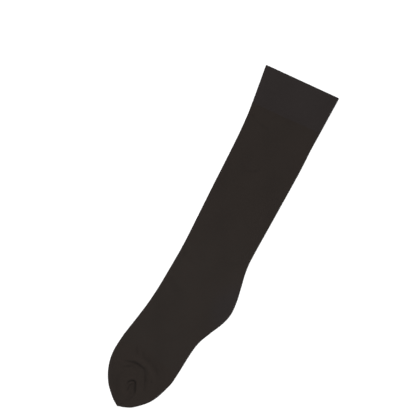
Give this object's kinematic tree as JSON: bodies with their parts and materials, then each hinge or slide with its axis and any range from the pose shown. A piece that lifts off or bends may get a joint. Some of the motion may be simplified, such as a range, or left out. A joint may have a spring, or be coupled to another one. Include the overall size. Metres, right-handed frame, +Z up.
{
  "type": "compression stocking",
  "caption": "Knee-high compression stocking laid flat: a ribless knitted tube with a double welt, a turned heel and a gathered closed toe.",
  "frame": {"origin": "on the surface that the stocking lies on, under the middle of its outline's bounding box", "axes": "+Y along the leg towards the mouth, +X towards the calf and the heel, +Z up off the surface"},
  "size_m": [0.1118, 0.4676, 0.0058],
  "materials": {
    "welt_knit": "matte, double layer of fine dark brown knit",
    "leg_knit": "matte, fine dark brown elastic jersey knit",
    "toe_knit": "matte, reinforced dark brown jersey knit"
  },
  "bodies": {
    "root": {"welt": "welt_knit", "leg_and_foot": "leg_knit", "toe": "toe_knit"}
  },
  "joints": []
}
